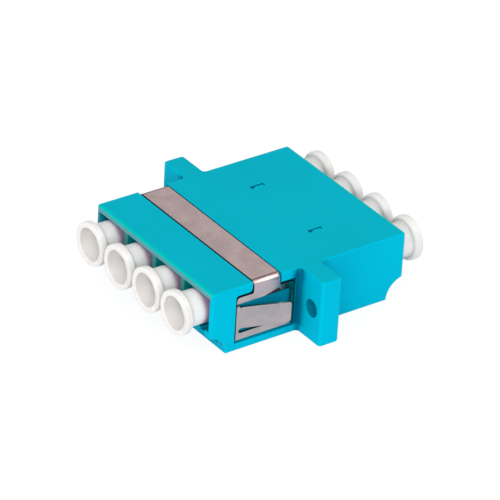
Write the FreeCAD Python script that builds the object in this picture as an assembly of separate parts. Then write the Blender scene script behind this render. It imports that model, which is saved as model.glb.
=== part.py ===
"""LC fibre adapter: a flanged housing with four ports at each end, a folded
panel clip, two sleeve holders, four split sleeves and eight dust caps.

Frame: X runs across the ports, Y along the fibres (the front is -Y), Z up.
Origin: centre of the housing's underside.  All sizes are in millimetres.
"""
import FreeCAD
import Part
import math
import os

V = FreeCAD.Vector

# Ports
PORTS = 4                   # at each end
PORT_PITCH = 6.25
PORT_W, PORT_H = 4.8, 4.65  # guide square for the plug body
AXIS_Z = 5.95
MOUTH_W, MOUTH_DEPTH = 5.5, 1.6
KEY_W, KEY_DEPTH = 4.0, 9.0  # keyway for the plug's latch
FLOOR_T = 0.9
CATCH_Y, CATCH_L = 3.4, 1.3  # catch for the latch: set back from the face, length
CATCH_W, CATCH_H = 0.55, 1.1

# Housing
WALL_T = 0.925              # outer sides and top
BODY_L = 29.4
BODY_EDGE_R = 0.25
CENTRE_WALL_T = 2.4
NOTCH_R = 2.9               # scoop under each end, so that the latch can be reached
NOTCH_OUT = 0.5             # its axis lies this far outside the end face

# Flanges
FLANGE_OUT, FLANGE_T = 4.7, 3.0
FLANGE_CORNER_R = 0.45
HOLE_OUT, HOLE_D = 2.6, 2.4  # hole's axis out from the body's side

# Alignment sleeves and the tubes that hold them
FERRULE_R = 0.623
SLEEVE_T, SLIT_W = 0.187, 0.3
SLEEVE_GAP, SLEEVE_PLAY = 0.065, 0.15  # round the sleeve, past each end
TUBE_WALL_T = 0.525
TUBE_REACH = 4.1            # tube tip from the mating plane
LIP_T, LIP_GAP = 0.55, 0.052  # lip's length, room round the ferrule

# Sleeve holders, pushed in from behind
HOLDER_T = 1.2
HOLDER_GAP = 0.05
WINDOW_Y, WINDOW_L, WINDOW_W = 5.35, 2.1, 0.65
HOOK_GAP, HOOK_H, HOOK_RAMP = 0.1, 0.85, 0.7  # room round it, height, length of its ramp

# Panel clip
SHEET_T = 0.35
CLIP_INSET, CLIP_SINK = 0.1, 0.08  # below the housing's sides and top
CLIP_BEND_R = 0.75
BAND_BACK, BAND_L = 2.925, 4.05  # set back from the flange, length
PLATE_BACK, PLATE_L = 0.7, 8.65
PLATE_Z, PLATE_H = 4.45, 6.1
PLATE_CORNER_R = 0.4        # upper corners
TONGUE_H, TONGUE_TAPER = 3.05, 0.2
SLOT = 0.6
SLOT_START = 0.4            # slot's closed end from the plate's front edge
REAR_STRIP = 0.4
TONGUE_ANGLE, TIP_ANGLE = 17.5, 9.0
ROOT_LEG, TONGUE_LEG, TIP_LEG = 0.7, 5.1, 1.15
TONGUE_BEND_R = 1.2
TIP_CORNER_R = 0.55

# Room round the clip in its seat
SEAT_FRONT, SEAT_REAR, SEAT_ENDS, SEAT_BEHIND = 0.2, 0.1, 0.4, 0.15
SEAT_NECK_R, SEAT_HEAD_R = 0.5, 0.4  # front corners, where the groove meets the recess

# Dust caps
CAP_RIM_R, CAP_RIM_T = 2.95, 1.1
CAP_LIP_T = 0.8             # rim's width at its face
CAP_EDGE = 0.2              # edge break of the rim
CAP_FIT = 0.055
CAP_WALL_T, CAP_END_T = 0.37, 0.8
CAP_STAND, CAP_REACH = 3.35, 7.0  # outside and inside the port's face
CAP_FLARE = 0.3             # depth over which the mouth narrows

# Sizes that follow
PORT_X = [(i - (PORTS - 1) / 2) * PORT_PITCH for i in range(PORTS)]
PORT_TOP = AXIS_Z + PORT_H / 2
PORT_FLOOR = AXIS_Z - PORT_H / 2
HOLDER_X = [(PORT_X[i] + PORT_X[i + 1]) / 2 for i in range(0, PORTS, 2)]
BODY_W = PORT_X[-1] - PORT_X[0] + PORT_W + 2 * WALL_T
BODY_H = PORT_TOP + WALL_T
HALF_L = BODY_L / 2
FLANGE_W = BODY_W + 2 * FLANGE_OUT
HOLE_PITCH = BODY_W + 2 * HOLE_OUT
SLEEVE_R = FERRULE_R + SLEEVE_T
SLEEVE_L = 2 * (TUBE_REACH - LIP_T - SLEEVE_PLAY)
BORE_R = SLEEVE_R + SLEEVE_GAP
TUBE_R = BORE_R + TUBE_WALL_T
LIP_R = FERRULE_R + LIP_GAP
CLIP_W = BODY_W - 2 * CLIP_INSET
CLIP_TOP = BODY_H - CLIP_SINK
BAND_END = -FLANGE_T / 2 - BAND_BACK
PLATE_END = -FLANGE_T / 2 - PLATE_BACK
BAND = (BAND_END - BAND_L, BAND_END)
PLATE = (PLATE_END - PLATE_L, PLATE_END)


# ---- Helpers -------------------------------------------------------------

def box(x, y, z):
    """Box from three (low, high) spans."""
    size = [span[1] - span[0] for span in (x, y, z)]
    return Part.makeBox(*size, V(x[0], y[0], z[0]))


def around(centre, size):
    return (centre - size / 2, centre + size / 2)


def outline(corners, place):
    """Closed wire through (a, b, radius) corners; place(a, b) gives the point."""
    flat = [V(a, b, 0) for a, b, _ in corners]
    edges, stops = [], []
    for i, (_, _, radius) in enumerate(corners):
        here, before, after = flat[i], flat[i - 1], flat[(i + 1) % len(flat)]
        if not radius:
            stops.append((here, here))
            continue
        back = (before - here).normalize()
        on = (after - here).normalize()
        half = back.getAngle(on) / 2
        reach = radius / math.tan(half)
        bulge = (back + on).normalize() * (radius / math.sin(half) - radius)
        start, end = here + back * reach, here + on * reach
        points = [place(p.x, p.y) for p in (start, here + bulge, end)]
        edges.append(Part.Arc(*points).toShape())
        stops.append((start, end))
    for i, (_, end) in enumerate(stops):
        start = stops[(i + 1) % len(stops)][0]
        if end.distanceToPoint(start) > 1e-6:
            edges.append(Part.makeLine(place(end.x, end.y), place(start.x, start.y)))
    return Part.Wire(Part.__sortEdges__(edges))


def prism_x(corners, x):
    """(y, z, radius) corners drawn out over the span x."""
    wire = outline(corners, lambda a, b: V(x[0], a, b))
    return Part.Face(wire).extrude(V(x[1] - x[0], 0, 0))


def prism_y(corners, y):
    """(x, z, radius) corners drawn out over the span y."""
    wire = outline(corners, lambda a, b: V(a, y[0], b))
    return Part.Face(wire).extrude(V(0, y[1] - y[0], 0))


def prism_z(corners, z):
    """(x, y, radius) corners drawn out over the span z."""
    wire = outline(corners, lambda a, b: V(a, b, z[0]))
    return Part.Face(wire).extrude(V(0, 0, z[1] - z[0]))


def turned(corners):
    """(radius, y) corners turned about the Y axis."""
    face = Part.Face(Part.makePolygon([V(r, y, 0) for r, y in corners + corners[:1]]))
    return face.revolve(V(0, 0, 0), V(0, 1, 0), 360)


def at_port(shape, x, rear=False):
    """Places a shape made on the Y axis, front end first, at a port."""
    placed = shape.copy()
    if rear:
        placed.rotate(V(0, 0, 0), V(0, 0, 1), 180)
    placed.translate(V(x, 0, AXIS_Z))
    return placed


def upright_edges(solid, x, y):
    """Edges parallel to Z at (+-x, +-y)."""
    found = []
    for edge in solid.Edges:
        low, high = edge.Vertexes[0].Point, edge.Vertexes[-1].Point
        straight = abs(low.x - high.x) < 1e-6 and abs(low.y - high.y) < 1e-6
        if straight and abs(abs(low.x) - x) < 1e-6 and abs(abs(low.y) - y) < 1e-6:
            found.append(edge)
    return found


# ---- Housing -------------------------------------------------------------

def housing_blank():
    """Body and flanges as one block with rounded edges."""
    block = box(around(0, BODY_W), around(0, BODY_L), (0, BODY_H))
    flange = box(around(0, FLANGE_W), around(0, FLANGE_T), (0, BODY_H))
    blank = block.fuse(flange).removeSplitter()
    inner = upright_edges(blank, BODY_W / 2, FLANGE_T / 2)
    outer = upright_edges(blank, FLANGE_W / 2, FLANGE_T / 2)
    blank = blank.makeFillet(FLANGE_CORNER_R, inner + outer)
    return blank.makeFillet(BODY_EDGE_R, upright_edges(blank, BODY_W / 2, HALF_L))


def mouth(width, narrow, y_face, inward):
    """Opening that narrows from the face to the guide square."""
    deep = y_face + inward * MOUTH_DEPTH
    out = y_face - inward
    corners = [(-width / 2, out, 0), (width / 2, out, 0), (width / 2, y_face, 0),
               (narrow / 2, deep, 0), (-narrow / 2, deep, 0), (-width / 2, y_face, 0)]
    return prism_z(corners, around(0, PORT_H))


def keyway():
    """Latch keyway of a front port, with its pair of catches left standing."""
    low = FLOOR_T - AXIS_Z
    top = PORT_FLOOR - AXIS_Z
    slot = box(around(0, KEY_W), (-HALF_L - 1, KEY_DEPTH - HALF_L), (low, top + 0.1))
    start = CATCH_Y - HALF_L
    for side in (-1, 1):
        inner = side * (KEY_W / 2 - CATCH_W)
        outer = side * (KEY_W / 2 + 0.1)
        slot = slot.cut(box(sorted((inner, outer)), (start, start + CATCH_L),
                            (top - CATCH_H, top + 0.2)))
    return slot


def front_port():
    """Everything cut away for one front port, made on the Y axis."""
    guide = box(around(0, PORT_W), (-HALF_L, -CENTRE_WALL_T / 2), around(0, PORT_H))
    return guide.fuse([mouth(MOUTH_W, PORT_W, -HALF_L, 1), keyway()])


def rear_pair():
    """Everything cut away for a pair of rear ports, turned to face the front."""
    inner = PORT_PITCH + PORT_W
    guide = box(around(0, inner), (-HALF_L, -CENTRE_WALL_T / 2), around(0, PORT_H))
    cut = guide.fuse(mouth(PORT_PITCH + MOUTH_W, inner, -HALF_L, 1))
    for side in (-1, 1):
        slot = keyway()
        slot.translate(V(side * PORT_PITCH / 2, 0, 0))
        cut = cut.fuse(slot)
    return cut


def sleeve_tube(root_y, tip_y):
    """Tube for one alignment sleeve, with the lip that keeps the sleeve in."""
    step = math.copysign(1, tip_y - root_y)
    lip_y = tip_y - step * LIP_T
    return turned([(BORE_R, root_y), (TUBE_R, root_y), (TUBE_R, tip_y), (LIP_R, tip_y),
                   (LIP_R, lip_y), (BORE_R, lip_y)])


def clip_seat():
    """Groove over the top and recess in both sides that the clip lies in."""
    groove, recess = [(span[0] - SEAT_FRONT, span[1] + SEAT_REAR) for span in (BAND, PLATE)]
    low, high = around(PLATE_Z, PLATE_H + 2 * SEAT_ENDS)
    above = BODY_H + 1
    corners = [(groove[0], above, 0), (groove[0], high, SEAT_NECK_R),
               (recess[0], high, SEAT_HEAD_R), (recess[0], low, 0), (recess[1], low, 0),
               (recess[1], high, 0), (groove[1], high, 0), (groove[1], above, 0)]
    cut = prism_x(corners, around(0, BODY_W + 2))
    side = CLIP_W / 2 - SHEET_T - SEAT_BEHIND
    floor, bend = CLIP_TOP - SHEET_T, CLIP_BEND_R - SHEET_T
    core = prism_y([(-side, -1, 0), (side, -1, 0), (side, floor, bend), (-side, floor, bend)],
                   (recess[0] - 1, recess[1] + 1))
    return cut.cut(core)


def housing():
    body = housing_blank()
    cuts = [at_port(front_port(), x) for x in PORT_X]
    cuts += [at_port(rear_pair(), x, rear=True) for x in HOLDER_X]
    for end in (-1, 1):
        axis_y = end * (HALF_L + NOTCH_OUT)
        cuts.append(Part.makeCylinder(NOTCH_R, BODY_W + 2, V(-BODY_W / 2 - 1, axis_y, 0),
                                      V(1, 0, 0)))
        cuts.append(Part.makeCylinder(HOLE_D / 2, FLANGE_T + 2,
                                      V(end * HOLE_PITCH / 2, -FLANGE_T / 2 - 1, BODY_H / 2),
                                      V(0, 1, 0)))
    cuts += [box(around(x, WINDOW_W), around(WINDOW_Y, WINDOW_L), (PORT_TOP - 0.1, BODY_H + 1))
             for x in HOLDER_X]
    cuts.append(clip_seat())
    body = body.cut(cuts)
    face = -CENTRE_WALL_T / 2
    body = body.fuse([at_port(sleeve_tube(face, -TUBE_REACH), x) for x in PORT_X])
    bore = Part.makeCylinder(BORE_R, CENTRE_WALL_T, V(0, face, 0), V(0, 1, 0))
    return body.cut([at_port(bore, x) for x in PORT_X]).removeSplitter()


# ---- Inner pieces --------------------------------------------------------

def sleeve_holder(x):
    """Plate with two tubes, the pair's divider and a snap hook on its top."""
    face = CENTRE_WALL_T / 2
    back = face + HOLDER_T
    high = around(0, PORT_H - 2 * HOLDER_GAP)
    plate = box(around(0, PORT_PITCH + PORT_W - 2 * HOLDER_GAP), (face, back), high)
    thick, thin = (PORT_PITCH - PORT_W) / 2, (PORT_PITCH - MOUTH_W) / 2
    flare = HALF_L - MOUTH_DEPTH
    divider = prism_z([(-thick, face, 0), (thick, face, 0), (thick, flare, 0), (thin, HALF_L, 0),
                       (-thin, HALF_L, 0), (-thick, flare, 0)], high)
    start, end = around(WINDOW_Y, WINDOW_L - 2 * HOOK_GAP)
    crest = high[1] + HOOK_H
    hook = prism_x([(start, high[1] - 0.2, 0), (start, high[1], 0),
                    (start + HOOK_RAMP, crest, 0), (end, crest, 0), (end, high[1] - 0.2, 0)],
                   around(0, WINDOW_W - 2 * HOOK_GAP))
    solid = plate.fuse([divider, hook])
    for side in (-1, 1):
        tube = sleeve_tube(back, TUBE_REACH)
        bore = Part.makeCylinder(BORE_R, HOLDER_T, V(0, face, 0), V(0, 1, 0))
        shift = V(side * PORT_PITCH / 2, 0, 0)
        tube.translate(shift)
        bore.translate(shift)
        solid = solid.fuse(tube).cut(bore)
    return at_port(solid.removeSplitter(), x)


def split_sleeve(x):
    """Thin ceramic tube with one slit along its top."""
    half = SLEEVE_L / 2
    sleeve = turned([(FERRULE_R, -half), (SLEEVE_R, -half), (SLEEVE_R, half), (FERRULE_R, half)])
    slit = box(around(0, SLIT_W), around(0, SLEEVE_L + 1), (0, SLEEVE_R + 1))
    return at_port(sleeve.cut(slit), x)


# ---- Panel clip ----------------------------------------------------------

def bent_strip(start, legs, thickness, radius):
    """Corners of a strip that leaves start along +Y; legs are (length, lean)."""
    outer, lean_before, point = [(start, 0.0)], 0.0, start
    leans = []
    for length, lean in legs:
        leans.append((lean_before, lean))
        turn = math.radians(lean)
        point = (point[0] + length * math.sin(turn), point[1] + length * math.cos(turn))
        outer.append((point, lean))
        lean_before = lean
    far, near = [], []
    for i, (place, lean) in enumerate(outer):
        last = i in (0, len(outer) - 1)
        other = lean if last else legs[i][1]
        middle = math.radians((lean + other) / 2)
        width = thickness / math.cos(math.radians((other - lean) / 2))
        round_out = 0 if last else radius
        round_in = 0 if last else radius + (thickness if other > lean else -thickness)
        far.append((place[0], place[1], round_out))
        near.append((place[0] - width * math.cos(middle), place[1] + width * math.sin(middle),
                     round_in))
    return far + near[::-1]


def clip_tongue():
    """Tongue lanced out of the +X plate: root in front, free end behind."""
    root_y = PLATE[0] + SLOT_START
    legs = [(ROOT_LEG, 0), (TONGUE_LEG, TONGUE_ANGLE), (TIP_LEG, TIP_ANGLE)]
    low, high = around(PLATE_Z, TONGUE_H)
    strip = prism_z(bent_strip((CLIP_W / 2, root_y), legs, SHEET_T, TONGUE_BEND_R), (low, high))
    reach = strip.BoundBox.YMax
    shape = prism_x([(root_y, low, 0), (reach, low, TIP_CORNER_R),
                     (reach, high - TONGUE_TAPER, TIP_CORNER_R), (root_y, high, 0)],
                    (0, CLIP_W))
    return strip.common(shape)


def clip_side():
    """Side plate at +X: a thin frame round the tongue."""
    (front, back), (foot, head) = PLATE, around(PLATE_Z, PLATE_H)
    skin = (CLIP_W / 2 - SHEET_T, CLIP_W / 2)
    plate = prism_x([(front, foot, 0), (back, foot, 0), (back, head, PLATE_CORNER_R),
                     (front, head, PLATE_CORNER_R)], skin)
    root, end = front + SLOT_START, back - REAR_STRIP
    through = (skin[0] - 1, skin[1] + 1)
    plate = plate.cut(box(through, (root + SLOT, end), around(PLATE_Z, TONGUE_H + 2 * SLOT)))
    for side in (-1, 1):
        inner, outer = (PLATE_Z + side * (TONGUE_H / 2 + gap) for gap in (0, SLOT))
        plate = plate.cut(prism_x([(root, inner, SLOT / 2), (root + 2 * SLOT, inner, 0),
                                   (root + 2 * SLOT, outer, 0), (root, outer, SLOT / 2)],
                                  through))
    return plate.fuse(clip_tongue())


def clip_band():
    """Strip over the top, bent down at both ends to meet the side plates."""
    out, top = CLIP_W / 2, CLIP_TOP
    inn, under = out - SHEET_T, CLIP_TOP - SHEET_T
    bend, inner_bend = CLIP_BEND_R, CLIP_BEND_R - SHEET_T
    foot = PLATE_Z + PLATE_H / 2 - 0.3
    corners = [(-out, foot, 0), (-out, top, bend), (out, top, bend), (out, foot, 0),
               (inn, foot, 0), (inn, under, inner_bend), (-inn, under, inner_bend),
               (-inn, foot, 0)]
    return prism_y(corners, BAND)


def panel_clip():
    side = clip_side()
    other = side.mirror(V(0, 0, 0), V(1, 0, 0))
    return clip_band().fuse([side, other]).removeSplitter()


# ---- Dust caps -----------------------------------------------------------

def dust_cap():
    """Hollow cap for a front port, turned about the Y axis, mouth outwards."""
    rim = -HALF_L - CAP_STAND
    shoulder = rim + CAP_RIM_T
    tip = CAP_REACH - HALF_L
    neck_r = min(PORT_W, PORT_H) / 2 - CAP_FIT
    core_r, floor = neck_r - CAP_WALL_T, tip - CAP_END_T
    return turned([(CAP_RIM_R - CAP_LIP_T, rim), (CAP_RIM_R - CAP_EDGE, rim),
                   (CAP_RIM_R, rim + CAP_EDGE), (CAP_RIM_R, shoulder), (neck_r, shoulder),
                   (neck_r, tip), (0, tip), (0, floor), (core_r, floor),
                   (core_r, rim + CAP_FLARE)])


# ---- Output --------------------------------------------------------------

def all_pieces():
    pieces = {"housing": housing(), "panel_clip": panel_clip()}
    for side, x in zip(("left", "right"), HOLDER_X):
        pieces["sleeve_holder_" + side] = sleeve_holder(x)
    cap = dust_cap()
    for number, x in enumerate(PORT_X, 1):
        pieces[f"split_sleeve_{number}"] = split_sleeve(x)
        pieces[f"front_dust_cap_{number}"] = at_port(cap, x)
        pieces[f"rear_dust_cap_{number}"] = at_port(cap, x, rear=True)
    return pieces


os.makedirs("parts", exist_ok=True)
for name, shape in all_pieces().items():
    if shape.ShapeType != "Solid" and len(shape.Solids) == 1:
        shape = shape.Solids[0]
    shape.exportStep(f"parts/{name}.step")
    print(f"{name:20s} solids {len(shape.Solids)} valid {shape.isValid()} "
          f"volume {shape.Volume:9.3f} box {shape.BoundBox}")
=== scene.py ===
"""Looks of the LC fibre adapter: moulded aqua housing, white dust caps and a steel panel clip.

The frame is in metres, with X across the ports, Y along the fibres and Z up.
"""
import math

import bmesh
import bpy
from mathutils import Matrix, Vector


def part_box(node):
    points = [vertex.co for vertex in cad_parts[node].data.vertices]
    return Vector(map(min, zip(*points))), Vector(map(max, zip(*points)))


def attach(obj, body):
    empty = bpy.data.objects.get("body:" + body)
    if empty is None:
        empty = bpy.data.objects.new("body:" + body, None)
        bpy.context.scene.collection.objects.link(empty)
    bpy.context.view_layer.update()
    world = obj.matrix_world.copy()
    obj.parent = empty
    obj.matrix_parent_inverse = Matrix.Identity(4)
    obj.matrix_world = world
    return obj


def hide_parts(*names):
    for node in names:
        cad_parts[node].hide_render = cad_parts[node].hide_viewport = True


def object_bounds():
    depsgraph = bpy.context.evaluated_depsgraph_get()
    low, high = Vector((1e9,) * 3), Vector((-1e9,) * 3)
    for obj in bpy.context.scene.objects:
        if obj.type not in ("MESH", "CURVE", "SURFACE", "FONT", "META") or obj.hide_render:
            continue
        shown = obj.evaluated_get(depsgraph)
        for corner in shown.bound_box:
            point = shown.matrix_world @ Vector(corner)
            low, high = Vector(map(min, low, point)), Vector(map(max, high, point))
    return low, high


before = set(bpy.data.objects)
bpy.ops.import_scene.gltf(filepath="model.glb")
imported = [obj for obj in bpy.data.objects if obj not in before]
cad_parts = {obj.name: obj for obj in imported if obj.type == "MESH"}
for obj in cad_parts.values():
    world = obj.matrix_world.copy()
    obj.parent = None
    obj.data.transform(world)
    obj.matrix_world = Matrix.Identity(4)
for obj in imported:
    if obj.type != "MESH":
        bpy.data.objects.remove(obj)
cad_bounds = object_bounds()
MOUTH_Y, TOP_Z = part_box("housing")[1][1:]

MM = 0.001
NEAR = 0.01 * MM
SHARP = math.radians(30)
FLOOR_GAP = 0.02 * MM

# Housing: width without the flanges, flange, ports and how far across and up they reach,
# hook windows, rounding of the edges
BODY_W, FLANGE_T = 25.4 * MM, 3.0 * MM
PORT_PITCH, AXIS_Z = 6.25 * MM, 5.95 * MM
PORTS_X, PORT_FLOOR, PORT_TOP = 11.82 * MM, 3.6 * MM, TOP_Z - 0.9 * MM
WINDOW_Y, WINDOW_L = 5.35 * MM, 2.1 * MM
CORNER_ROUND, MOUTH_ROUND, HOLDER_ROUND = 0.22 * MM, 0.06 * MM, 0.05 * MM

# Clip: start of its bends, front of its band, upper edge of the upper slot, edge rounding
BEND_X, BAND_FRONT, SLOT_Z = 11.8 * MM, -8.39 * MM, 6.575 * MM
SHEET_ROUND = 0.04 * MM

# Dust caps: rim, lip, mouth and core, neck, and how uneven they are
CAP_STEPS = 96
RIM_T, RIM_ROUND, SHOULDER_ROUND = 1.15 * MM, 0.13 * MM, 0.42 * MM
LIP_T, LIP_ROUND = 0.74 * MM, 0.12 * MM
MOUTH_L, CORE_R, CORE_ROUND, END_T = 1.5 * MM, 1.9 * MM, 0.5 * MM, 0.8 * MM
NECK_R, NECK_COVE, TIP_ROUND = 2.27 * MM, 0.3 * MM, 0.3 * MM
UNEVEN, UNEVEN_SIZE = 0.03 * MM, 2.2 * MM

# Camera: where it looks, from which side, its roll, its distance and the lamps', its lens
AIM = Vector((0, 0.5, 4.5)) * MM
AZIMUTH, ELEVATION, ROLL = 53.03, 30.99, 3.395
DISTANCE, LAMP_DISTANCE = 539.94 * MM, 600 * MM
LENS, SENSOR = 308.8, 36
SHIFT = (-0.00545, -0.00123)


# ---- Shader helpers ------------------------------------------------------

class Socket:
    """One output socket; arithmetic on it adds Math nodes."""

    def __init__(self, shader, link):
        self.shader, self.link = shader, link

    def math(self, operation, *others):
        return self.shader.node("ShaderNodeMath", {"operation": operation},
                                dict(enumerate((self, *others))))

    def __add__(self, other):
        return self.math("ADD", other)

    def __sub__(self, other):
        return self.math("SUBTRACT", other)

    def __mul__(self, other):
        return self.math("MULTIPLY", other)

    def __rsub__(self, other):
        return self * -1 + other

    __radd__, __rmul__ = __add__, __mul__

    def size(self):
        return self.math("ABSOLUTE")

    def above(self, start, width):
        """0 below start, 1 above start + width, and a ramp between."""
        ramp = (self - start) * (1 / width)
        return self.shader.node("ShaderNodeClamp", {}, {"Value": ramp})

    def between(self, low, high, soft):
        """1 from low to high and 0 outside, with a ramp just inside each end."""
        return self.above(low, soft) * (1 - self.above(high - soft, soft))


class Shader:
    """Node tree of a material or of the world."""

    def __init__(self, holder):
        self.holder = holder
        holder.use_nodes = True
        self.tree = holder.node_tree
        self.tree.nodes.clear()

    def node(self, kind, settings, inputs, output=0):
        """Adds a node, makes its settings first, then fills its sockets."""
        node = self.tree.nodes.new(kind)
        for name, value in settings.items():
            setattr(node, name, value)
        for name, value in inputs.items():
            if isinstance(value, Socket):
                self.tree.links.new(value.link, node.inputs[name])
            else:
                node.inputs[name].default_value = value
        return None if output is None else Socket(self, node.outputs[output])

    def place(self):
        return self.node("ShaderNodeTexCoord", {}, {}, "Object")

    def ray(self, kind):
        """1 for the named kind of light ray, else 0."""
        return self.node("ShaderNodeLightPath", {}, {}, "Is " + kind + " Ray")

    def shut_in(self, reach, **settings):
        """0 in the open, higher in corners and gaps; with inside=True, higher along edges."""
        node = self.node("ShaderNodeAmbientOcclusion", {"samples": 8, **settings},
                         {"Distance": reach}, "AO")
        return 1 - node

    def along(self, axis):
        """The object's X, Y or Z, in metres."""
        return self.node("ShaderNodeSeparateXYZ", {}, {"Vector": self.place()}, axis)

    def spot(self):
        """Distance from the middle across and along the housing, and height."""
        return self.along("X").size(), self.along("Y").size(), self.along("Z")

    def noise(self, size, detail=2.0, roughness=0.5, stretch=None):
        """Soft noise whose blotches are about this size in metres."""
        place = self.place()
        if stretch:
            place = self.node("ShaderNodeMapping", {}, {"Vector": place, "Scale": stretch})
        return self.node("ShaderNodeTexNoise", {}, {
            "Vector": place, "Scale": 1 / size, "Detail": detail, "Roughness": roughness})

    def specks(self, spacing, radius):
        """1 in small round specks scattered about this far apart, else 0."""
        distance = self.node("ShaderNodeTexVoronoi", {}, {
            "Vector": self.place(), "Scale": 1 / spacing})
        return 1 - distance.above(0.6 * radius / spacing, 0.6 * radius / spacing)

    def mixed(self, factor, low, high):
        return self.node("ShaderNodeMix", {"data_type": "RGBA"},
                         {"Factor": factor, 6: low, 7: high}, 2)

    def bump(self, height, strength, distance):
        return self.node("ShaderNodeBump", {}, {
            "Strength": strength, "Distance": distance, "Height": height})

    def surface(self, **inputs):
        """Principled surface as the material's output; spaces in names are underscores."""
        named = {name.replace("_", " "): value for name, value in inputs.items()}
        return self.output(self.node("ShaderNodeBsdfPrincipled", {}, named))

    def output(self, shader, kind="ShaderNodeOutputMaterial"):
        self.node(kind, {"is_active_output": True}, {"Surface": shader}, None)
        return self.holder


def finish(name):
    """Shader of a new material."""
    return Shader(bpy.data.materials.new(name))


def rgb(red, green, blue):
    """Colour from its usual 0-255 display values."""
    def linear(value):
        value /= 255
        return value / 12.92 if value <= 0.04045 else ((value + 0.055) / 1.055) ** 2.4
    return (linear(red), linear(green), linear(blue), 1.0)


# ---- Materials -----------------------------------------------------------

def on_top(s):
    """1 on the housing's top face."""
    return s.along("Z").above(TOP_Z - 0.12 * MM, 0.08 * MM)


def aqua_shell(s, clouds):
    """Base colour with painted light: the top a little greener than the sides, as the two take
    the light differently, and a painted highlight, paler, along the edges.
    """
    tone = clouds.above(0.3, 0.4)
    # Painted light: sides and top are lit and shaded copies of one aqua.
    side = s.mixed(tone, rgb(0, 175, 205), rgb(0, 182, 211))
    upper = s.mixed(tone, rgb(0, 178, 199), rgb(0, 183, 205))
    # Painted highlight: paler where the surface rounds over an outer edge.
    edges = s.shut_in(0.4 * MM, only_local=True, inside=True).above(0.15, 0.35)
    return s.mixed(edges * 0.5, s.mixed(on_top(s), side, upper), rgb(0, 206, 232))


def aqua_painted_shade(s, color):
    """Painted shade in corners and gaps, at the flange's root and in the clip's seat."""
    width, depth, height = s.spot()
    behind = s.along("Y").above(0, 0.5 * MM)
    shelter = s.shut_in(1.6 * MM, only_local=True)
    front = (1 - behind * 0.7) * height.above(1.0 * MM, 0.3 * MM)
    root = (width.between(BODY_W / 2 - 0.3 * MM, BODY_W / 2 + 0.7 * MM, 0.4 * MM)
            * depth.between(FLANGE_T / 2 - 0.3 * MM, FLANGE_T / 2 + 0.7 * MM, 0.4 * MM)
            * (1 - s.along("Y").above(0, MM)))
    crease = root * (1 - on_top(s)) * (1 - height.above(6 * MM, 3 * MM) * 0.4)
    seat = (width.between(PORTS_X, 12.5 * MM, 0.05 * MM)
            * (1 - depth.above(14 * MM, 0.1 * MM))
            * height.between(1.0 * MM, 8.7 * MM, 0.1 * MM))
    # Painted shade: darker where the surface is shut in, darkest in narrow gaps, along the
    # flange's root and in the clip's seat.
    corner = s.mixed(shelter * front * 3.2, color, rgb(0, 66, 98))
    gap = s.mixed(shelter.above(0.5, 0.2) * front, corner, rgb(0, 54, 62))
    crease_painted_dark = s.mixed(crease * 0.7, gap, rgb(0, 78, 112))
    return s.mixed(seat * 0.8, crease_painted_dark, rgb(0, 124, 152))


def aqua_mouth_painted_light(s, color):
    """Painted light at the mouths: painted shade, greener, in the ports and, greyer, on the webs
    between them, a painted highlight along the top's front edge, and painted shade with the white
    caps' reflection on the brow above.
    """
    width, depth, height = s.spot()
    across = s.along("X")
    ends = depth.above(MOUTH_Y - 0.08 * MM, 0.05 * MM)
    level = height.between(PORT_FLOOR, PORT_TOP, 0.06 * MM)
    in_port = level * (1 - width.above(PORTS_X, 0.05 * MM))
    webs = level * ends * (1 - across.above(PORTS_X - 0.02 * MM, 0.05 * MM))
    rim = depth.above(MOUTH_Y - 0.42 * MM, 0.16 * MM) * height.above(TOP_Z - 0.4 * MM, 0.15 * MM)
    brow = (height.between(TOP_Z - 0.98 * MM, TOP_Z - 0.2 * MM, 0.16 * MM)
            * ends * (1 - across.above(BODY_W / 2 - 0.35 * MM, 0.15 * MM)))
    # Painted shade in the ports and on the webs, a painted highlight on the top's front edge,
    # painted shade and reflection on the brow.
    shaded = s.mixed(in_port * 0.9, color, rgb(0, 142, 140))
    webs_shaded = s.mixed(webs * 0.75, shaded, rgb(84, 136, 132))
    rim_highlighted = s.mixed(rim * 0.7, webs_shaded, rgb(0, 196, 184))
    return s.mixed(brow * 0.75, rim_highlighted, rgb(114, 160, 154))


def aqua_plastic():
    """Satin moulded plastic with painted shade in its corners, gaps and mouths, painted
    highlights along its edges, and a few specks.
    """
    s = finish("aqua_plastic")
    clouds, grain = s.noise(11 * MM, 3), s.noise(0.11 * MM)
    shaded_and_lit = aqua_mouth_painted_light(s, aqua_painted_shade(s, aqua_shell(s, clouds)))
    color = s.mixed(s.specks(9 * MM, 0.16 * MM) * 0.7, shaded_and_lit, rgb(0, 92, 112))
    return s.surface(Base_Color=color, Roughness=0.36 + 0.12 * clouds + 0.06 * grain,
                     Specular_IOR_Level=0.015, Specular_Tint=(0.02, 0.9, 1.0, 1.0),
                     Normal=s.bump(grain, 0.1, 0.02 * MM))


def cap_bore_painted_light(s, color, in_bore, rise, out):
    """Painted light and shade in the bore: greyer painted shade just inside the lip, paler
    painted light further in and below, and a dark painted shadow deep in the upper bore.
    """
    deep = in_bore * (1 - out.above(1.2 * MM, 1.9 * MM))
    low = in_bore * (1 - rise.above(-1.7 * MM, 1.5 * MM))
    throat_shadow = in_bore * (1 - out.above(0.8 * MM, 0.7 * MM)) * rise.above(-1.2 * MM, MM)
    bore_shaded = s.mixed(in_bore * 0.7, color, rgb(208, 203, 200))
    bore_lit = s.mixed((deep + low * 0.6) * 0.8, bore_shaded, rgb(246, 243, 240))
    return s.mixed(throat_shadow * 0.7, bore_lit, rgb(164, 162, 162))


def cap_neck_painted_shade(s, color, in_bore, out):
    """Painted shade where the neck goes into its port: pink first, then mauve."""
    in_port = s.shut_in(1.5 * MM).above(0.15, 0.3)
    neck = out.above(-2.1 * MM, 0.7 * MM) * in_port * (1 - in_bore)
    pink_shade = s.mixed((1 - out.above(0.3 * MM, 0.45 * MM)) * neck, color, rgb(238, 208, 216))
    return s.mixed((1 - out.above(-0.1 * MM, 0.6 * MM)) * neck, pink_shade, rgb(164, 144, 166))


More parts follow.
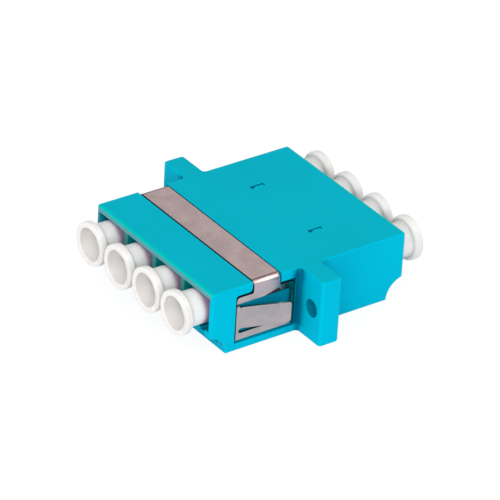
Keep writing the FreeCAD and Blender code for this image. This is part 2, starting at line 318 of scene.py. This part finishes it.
def white_plastic():
    """Soft translucent white of the dust caps, with painted shade on the right side of each rim,
    behind each rim and at the necks, and painted light and shade in the bores; out is how far a
    point stands off the port.
    """
    s = finish("white_plastic")
    clouds, grain = s.noise(3.5 * MM, 3), s.noise(0.2 * MM)
    off = (s.along("X") + 2 * PORT_PITCH).math("MODULO", PORT_PITCH) - PORT_PITCH / 2
    rise, out = s.along("Z") - AXIS_Z, s.along("Y").size() - MOUTH_Y
    in_bore = 1 - (off * off + rise * rise).math("SQRT").above(NECK_R - 0.08 * MM, 0.03 * MM)
    clean = s.mixed(clouds.above(0.3, 0.4), rgb(232, 229, 226), rgb(238, 236, 234))
    # Painted shade on the right-hand side of each rim, which the lamps light most.
    right = off.above(CORE_R, 0.5 * MM) * out.above(2.1 * MM, 0.3 * MM)
    rims_shaded_right = s.mixed(right * 0.4, clean, rgb(205, 203, 202))
    # Painted shade where the cap is shut in, as on the neck behind the rim.
    gaps = s.shut_in(1.0 * MM, only_local=True).above(0.08, 0.3)
    shaded = s.mixed(gaps * 0.5, rims_shaded_right, rgb(168, 163, 160))
    color = cap_neck_painted_shade(s, cap_bore_painted_light(s, shaded, in_bore, rise, out), in_bore, out)
    return s.surface(Base_Color=color, Roughness=0.42 + 0.1 * clouds,
                     Specular_IOR_Level=0.3,
                     Subsurface_Weight=0.5, Subsurface_Scale=0.7 * MM,
                     Subsurface_Radius=(1.0, 0.96, 0.93),
                     Normal=s.bump(grain, 0.12, 0.02 * MM))


def steel_sheet(s, mottle):
    """Base colour: grey on the side plates, lighter towards their top, and warmer on the band
    over the top as a painted reflection.
    """
    height = s.along("Z")
    blotches = s.noise(2.2 * MM, 3).above(0.35, 0.3)
    low = s.mixed(blotches, rgb(156, 155, 158), rgb(174, 166, 172))
    plate = s.mixed(height.above(6.6 * MM, 1.6 * MM), low, rgb(184, 171, 180))
    # Painted reflection: the band over the top warmer than the plates.
    band = s.mixed(blotches, rgb(160, 138, 138), rgb(172, 152, 150))
    tint = s.mixed(height.above(8.4 * MM, 0.6 * MM), plate, band)
    return s.mixed(mottle.above(0.3, 0.4) * 0.2, tint, rgb(196, 190, 190))


def steel_painted_shade_and_reflections(s, color):
    """Painted light on the sheet: a brown painted dark reflection where each bend starts, painted
    shadow along the slots' edges and the band's front edge, and a green painted reflection of the
    aqua at the far ends.
    """
    width, back, height = s.along("X").size(), s.along("Y"), s.along("Z")
    bend = (width.between(BEND_X, BEND_X + 0.36 * MM, 0.14 * MM)
            * height.above(8.4 * MM, 0.2 * MM))
    front_edge = (1 - back.above(BAND_FRONT, 0.05 * MM)) * height.above(7.5 * MM, 0.2 * MM)
    skin = width.between(11.5 * MM, 12.8 * MM, 0.1 * MM)
    ramp = back.above(-6.8 * MM, 2.2 * MM) * (1 - back.above(-4.6 * MM, 0.4 * MM))
    slot_edge = (height.above(SLOT_Z - 0.4 * MM, 0.1 * MM)
                 * (1 - (height - ramp * 0.6 * MM).above(SLOT_Z, 0.1 * MM)) * skin)
    far_end = (back.above(-4.5 * MM, 1.0 * MM) * height.above(6.4 * MM, 0.1 * MM)
               + back.above(-2.62 * MM, 0.05 * MM)) * skin
    # Painted dark reflection at the bends, painted shadow at the edges, painted green reflection
    # at the far ends.
    crease_painted_dark = s.mixed(bend * 0.85, color, rgb(84, 62, 58))
    edge_shadow_painted = s.mixed((slot_edge + front_edge) * 0.9, crease_painted_dark, rgb(36, 40, 42))
    return s.mixed(far_end * 0.85, edge_shadow_painted, rgb(34, 128, 106))


def spring_steel():
    """Thin stainless sheet with faint mottle and rolling grain, duller at its bends, and painted
    shade, dark teal, in its gaps.
    """
    s = finish("spring_steel")
    mottle = s.noise(0.4 * MM, 4, 0.6)
    grain = s.noise(1.3 * MM, 3, stretch=(0.12, 8, 8))
    gaps = s.shut_in(1.2 * MM).above(0.36, 0.2)
    bends = s.along("X").size().above(BEND_X, 0.1 * MM) * s.along("Z").above(8 * MM, 0.3 * MM)
    # Painted shade in the gaps, dark teal like the aqua around them.
    color = s.mixed(gaps * 0.92, steel_painted_shade_and_reflections(s, steel_sheet(s, mottle)), rgb(8, 56, 50))
    return s.surface(Base_Color=color, Metallic=1.0,
                     Roughness=0.19 + 0.1 * mottle + 0.06 * bends,
                     Normal=s.bump(grain * 0.6 + mottle * 0.4, 0.06, 0.01 * MM))


def zirconia():
    """Ground white ceramic of the split sleeves."""
    s = finish("zirconia")
    grain = s.noise(0.35 * MM, 3)
    color = s.mixed(grain, rgb(226, 223, 215), rgb(236, 234, 228))
    return s.surface(Base_Color=color, Roughness=0.18 + 0.1 * grain,
                     Normal=s.bump(grain, 0.05, 0.01 * MM))


def paper_floor():
    """White sweep: it shows white with the object's soft shadow."""
    s = finish("paper_floor")
    grain = s.noise(17 * MM)
    matte = s.node("ShaderNodeBsdfDiffuse", {}, {
        "Color": s.mixed(grain, rgb(243, 243, 243), rgb(246, 246, 246))})
    glow = s.node("ShaderNodeEmission", {}, {"Color": (1, 1, 1, 1), "Strength": 1.1})
    seen = (s.ray("Camera") + s.ray("Glossy")) * 0.8
    return s.output(s.node("ShaderNodeMixShader", {}, {0: seen, 1: matte, 2: glow}))


# ---- Stage ---------------------------------------------------------------

def add_floor():
    bpy.ops.mesh.primitive_plane_add(size=4, location=(0, 0, cad_bounds[0][2] - FLOOR_GAP))
    floor = bpy.context.object
    floor.name = "floor"
    floor.data.materials.append(paper_floor())


def add_world():
    """White where the camera, metal or glass sees it; a softer light on the object."""
    world = bpy.data.worlds.new("studio")
    bpy.context.scene.world = world
    s = Shader(world)
    seen = s.ray("Camera").math("MAXIMUM", s.ray("Glossy")).math("MAXIMUM", s.ray("Transmission"))
    soft = s.node("ShaderNodeBackground", {}, {"Color": (1, 1, 1, 1), "Strength": 0.62})
    white = s.node("ShaderNodeBackground", {}, {"Color": (1, 1, 1, 1)})
    sky = s.node("ShaderNodeMixShader", {}, {0: seen, 1: soft, 2: white})
    s.output(sky, "ShaderNodeOutputWorld")


def direction(azimuth, elevation):
    """Unit vector from the object towards azimuth (0 is -Y, 90 is +X) and elevation."""
    azimuth, elevation = math.radians(azimuth), math.radians(elevation)
    return Vector((math.sin(azimuth) * math.cos(elevation),
                   -math.cos(azimuth) * math.cos(elevation), math.sin(elevation)))


def add_lamp(name, azimuth, elevation, size, power, color=(1, 1, 1)):
    """Square soft box that points at the object."""
    way = direction(azimuth, elevation)
    bpy.ops.object.light_add(type="AREA", location=AIM + way * LAMP_DISTANCE)
    lamp = bpy.context.object
    lamp.name = name
    lamp.rotation_euler = way.to_track_quat("Z", "Y").to_euler()
    lamp.data.size = size
    lamp.data.energy = power
    lamp.data.color = color
    return lamp


def add_lamps():
    """Three boxes that the steel doesn't mirror, and a card that only shows as its sheen."""
    for box in (add_lamp("key_box", 45, 20, 0.5, 1.35),
                add_lamp("front_box", 20, 30, 0.5, 0.95),
                add_lamp("side_box", 110, 30, 0.5, 0.85, (0.9, 0.95, 1.0))):
        box.visible_glossy = False
    card = add_lamp("sheen_card", 135, 43, 0.4, 2.0, (1.0, 0.97, 0.9))
    card.visible_diffuse = False


def add_camera():
    back = direction(AZIMUTH, ELEVATION)
    right = Vector((math.cos(math.radians(AZIMUTH)), math.sin(math.radians(AZIMUTH)), 0))
    up = back.cross(right)
    roll = math.radians(ROLL)
    across = right * math.cos(roll) + up * math.sin(roll)
    along = up * math.cos(roll) - right * math.sin(roll)
    place = Matrix((across, along, back)).transposed().to_4x4()
    place.translation = AIM + back * DISTANCE
    bpy.ops.object.camera_add()
    camera = bpy.context.object
    camera.matrix_world = place
    camera.data.lens = LENS
    camera.data.sensor_width = SENSOR
    camera.data.shift_x, camera.data.shift_y = SHIFT
    camera.data.clip_start, camera.data.clip_end = 0.01, 20
    bpy.context.scene.camera = camera


# ---- Modelling helpers ---------------------------------------------------

def only(piece):
    """Makes one piece the only selected and active one."""
    bpy.ops.object.select_all(action="DESELECT")
    piece.select_set(True)
    bpy.context.view_layer.objects.active = piece


def open_mesh(piece, kind):
    """Enters edit mode with nothing selected; kind is VERT, EDGE or FACE."""
    only(piece)
    bpy.ops.object.mode_set(mode="EDIT")
    bpy.ops.mesh.select_mode(type=kind)
    bpy.ops.mesh.select_all(action="DESELECT")


def close_mesh():
    bpy.ops.object.mode_set(mode="OBJECT")


def pick(piece, elements, wanted):
    """Selects, in edit mode, just the edges or faces for which wanted(element) is true."""
    bpy.ops.mesh.select_all(action="DESELECT")
    shape = bmesh.from_edit_mesh(piece.data)
    shape.normal_update()
    for element in getattr(shape, elements):
        if wanted(element):
            element.select = True
    shape.select_flush_mode()
    bmesh.update_edit_mesh(piece.data)


def apply(piece, kind, **settings):
    """Adds one modifier to a piece and applies it."""
    only(piece)
    modifier = piece.modifiers.new(kind.lower(), kind)
    for name, value in settings.items():
        setattr(modifier, name, value)
    bpy.ops.object.modifier_apply(modifier=modifier.name)


def merged_copy(node, name):
    """New piece with a carried node's shape, its loose triangles merged to whole faces."""
    piece = bpy.data.objects.new(name, node.data.copy())
    bpy.context.collection.objects.link(piece)
    open_mesh(piece, "EDGE")
    bpy.ops.mesh.select_all(action="SELECT")
    bpy.ops.mesh.customdata_custom_splitnormals_clear()
    bpy.ops.mesh.remove_doubles(threshold=NEAR / 10)
    bpy.ops.mesh.dissolve_limited(angle_limit=math.radians(0.5))
    close_mesh()
    return piece


def round_edges(piece, width, segments, share=None):
    """Rounds the sharp edges; share(edge) gives the part of the width that an edge gets."""
    shape = bmesh.new()
    shape.from_mesh(piece.data)
    slivers = {vertex for edge in shape.edges if edge.calc_length() < 2 * NEAR
               for vertex in edge.verts}
    weights = [(share(edge) if share else 1.0) * (edge.calc_face_angle(0) > SHARP)
               * slivers.isdisjoint(edge.verts) for edge in shape.edges]
    shape.free()
    layer = piece.data.attributes.new("bevel_weight_edge", "FLOAT", "EDGE")
    layer.data.foreach_set("value", weights)
    apply(piece, "BEVEL", limit_method="WEIGHT", width=width, segments=segments,
          use_clamp_overlap=False)


def stand_for(piece, node, body, material, smooth=SHARP):
    """Smooth shading, material and body of a piece that stands for a carried node, whose mesh it
    hides.
    """
    only(piece)
    bpy.ops.object.shade_smooth_by_angle(angle=smooth)
    apply(piece, "WEIGHTED_NORMAL", keep_sharp=True)
    piece.data.materials.clear()
    piece.data.materials.append(material)
    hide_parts(node)
    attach(piece, body)


# ---- Housing, holders and clip -------------------------------------------

def skin_test():
    """Test for the faces on the outer skin of the housing."""
    low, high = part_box("housing")
    planes = [(axis, corner[axis]) for corner in (low, high) for axis in range(3)]
    planes += [(0, side * BODY_W / 2) for side in (-1, 1)]
    planes += [(1, side * FLANGE_T / 2) for side in (-1, 1)]

    def on_skin(face):
        centre, normal = face.calc_center_median(), face.normal
        flat = any(abs(centre[axis] - place) < NEAR and abs(normal[axis]) > 0.999
                   for axis, place in planes)
        slanted = abs(normal.z) < 0.01 and min(abs(normal.x), abs(normal.y)) > 0.02
        return flat or (slanted and abs(centre.x) > BODY_W / 2 - 0.5 * MM)
    return on_skin


def moulded_housing(node, material):
    """The housing with its edges rounded: most between two outer faces, less at openings."""
    piece = merged_copy(node, "moulded_housing")
    on_skin = skin_test()

    def share(edge):
        outer = sum(on_skin(face) for face in edge.link_faces)
        window = all(abs(vertex.co.y - WINDOW_Y) < WINDOW_L / 2 + NEAR for vertex in edge.verts)
        return 0 if window and outer == 1 else (0, MOUTH_ROUND / CORNER_ROUND, 1)[outer]
    round_edges(piece, CORNER_ROUND, 4, share)
    stand_for(piece, "housing", "adapter", material)


def moulded_holder(node, material):
    piece = merged_copy(node, "moulded_" + node.name)
    round_edges(piece, HOLDER_ROUND, 2)
    stand_for(piece, node.name, "adapter", material)


def pressed_clip(node, material):
    """The clip with the slightly rolled edges of pressed sheet."""
    piece = merged_copy(node, "pressed_panel_clip")
    round_edges(piece, SHEET_ROUND, 2)
    stand_for(piece, node.name, "adapter", material)


def ground_sleeve(node, material):
    piece = merged_copy(node, "ground_" + node.name)
    stand_for(piece, node.name, "adapter", material)


# ---- Dust caps -----------------------------------------------------------

class Cap:
    """Blank dust cap, modelled at the origin with its rim's face at Y 0 and its tip along +Y."""

    def __init__(self, rim_r, length):
        bpy.ops.mesh.primitive_cylinder_add(
            vertices=CAP_STEPS, radius=rim_r, depth=RIM_T, rotation=(math.pi / 2, 0, 0),
            location=(0, RIM_T / 2, 0))
        self.piece = bpy.context.object
        bpy.ops.object.transform_apply(location=True, rotation=True, scale=True)
        open_mesh(self.piece, "FACE")
        self.shape_outside(rim_r, length)
        self.shape_inside(rim_r - LIP_T, length)
        self.soften(rim_r, length)
        close_mesh()

    def shape_outside(self, rim_r, length):
        """The long neck behind the rim."""
        self.pick_disc(RIM_T)
        bpy.ops.mesh.inset(thickness=rim_r - NECK_R)
        self.draw(length - RIM_T)

    def shape_inside(self, mouth_r, length):
        """The mouth, which narrows to the core of the neck."""
        self.pick_disc(0)
        bpy.ops.mesh.inset(thickness=LIP_T)
        self.draw(MOUTH_L, mouth_r, CORE_R)
        self.draw(length - MOUTH_L - END_T)

    def soften(self, rim_r, length):
        self.round_ring(rim_r, 0, RIM_ROUND)
        self.round_ring(rim_r - LIP_T, 0, LIP_ROUND)
        self.round_ring(rim_r, RIM_T, SHOULDER_ROUND)
        self.round_ring(NECK_R, RIM_T, NECK_COVE)
        self.round_ring(NECK_R, length, TIP_ROUND)
        self.round_ring(CORE_R, MOUTH_L, CORE_ROUND)
        self.round_ring(CORE_R, length - END_T, CORE_ROUND)

    def pick_disc(self, depth):
        """Selects the flat face at a depth."""
        pick(self.piece, "faces",
             lambda face: abs(face.calc_center_median().y - depth) < NEAR
             and abs(face.normal.y) > 0.9)

    def draw(self, depth, radius_from=1, radius_to=1):
        """Extrudes the selected face by a depth, changing its radius."""
        bpy.ops.mesh.extrude_region_move(TRANSFORM_OT_translate={"value": (0, depth, 0)})
        factor = radius_to / radius_from
        if factor != 1:
            bpy.ops.transform.resize(value=(factor, 1, factor), center_override=(0, 0, 0))

    def round_ring(self, radius, depth, width):
        """Rounds the circular edge of this radius at a depth."""
        bpy.ops.mesh.select_mode(type="EDGE")
        pick(self.piece, "edges", lambda edge: all(
            abs(v.co.y - depth) < NEAR and abs(math.hypot(v.co.x, v.co.z) - radius) < NEAR
            for v in edge.verts))
        bpy.ops.mesh.bevel(offset=width, segments=4, affect="EDGES", clamp_overlap=False)


def blank_cap():
    low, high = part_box("front_dust_cap_1")
    return Cap((high[0] - low[0]) / 2, high[1] - low[1]).piece


def dust_cap(blank, node, material, unevenness):
    """Copy of the blank in its port, each a little uneven in its own way."""
    low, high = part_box(node)
    rear = node.startswith("rear")
    piece = bpy.data.objects.new("moulded_" + node, blank.data.copy())
    bpy.context.collection.objects.link(piece)
    only(piece)
    piece.rotation_euler.z = math.pi * rear
    piece.location = ((low[0] + high[0]) / 2, high[1] if rear else low[1],
                      (low[2] + high[2]) / 2)
    bpy.ops.object.transform_apply(location=True, rotation=True, scale=True)
    apply(piece, "DISPLACE", texture=unevenness, strength=UNEVEN, mid_level=0.5,
          texture_coords="LOCAL")
    stand_for(piece, node, node.replace("dust_", ""), material,
              math.radians(50))


# ---- Scene ---------------------------------------------------------------

def dress(nodes):
    """Makes the piece that stands for each carried node."""
    aqua, white, steel, ceramic = aqua_plastic(), white_plastic(), spring_steel(), zirconia()
    unevenness = bpy.data.textures.new("unevenness", "CLOUDS")
    unevenness.noise_scale = UNEVEN_SIZE
    blank = blank_cap()
    for name, node in nodes.items():
        if name == "housing":
            moulded_housing(node, aqua)
        elif name == "panel_clip":
            pressed_clip(node, steel)
        elif name.startswith("sleeve_holder"):
            moulded_holder(node, aqua)
        elif name.startswith("split_sleeve"):
            ground_sleeve(node, ceramic)
        else:
            dust_cap(blank, name, white, unevenness)
    bpy.data.objects.remove(blank)


bpy.ops.object.select_all(action="DESELECT")
dress(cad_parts)
add_floor()
add_world()
add_lamps()
add_camera()
bpy.context.scene.view_settings.view_transform = "Standard"
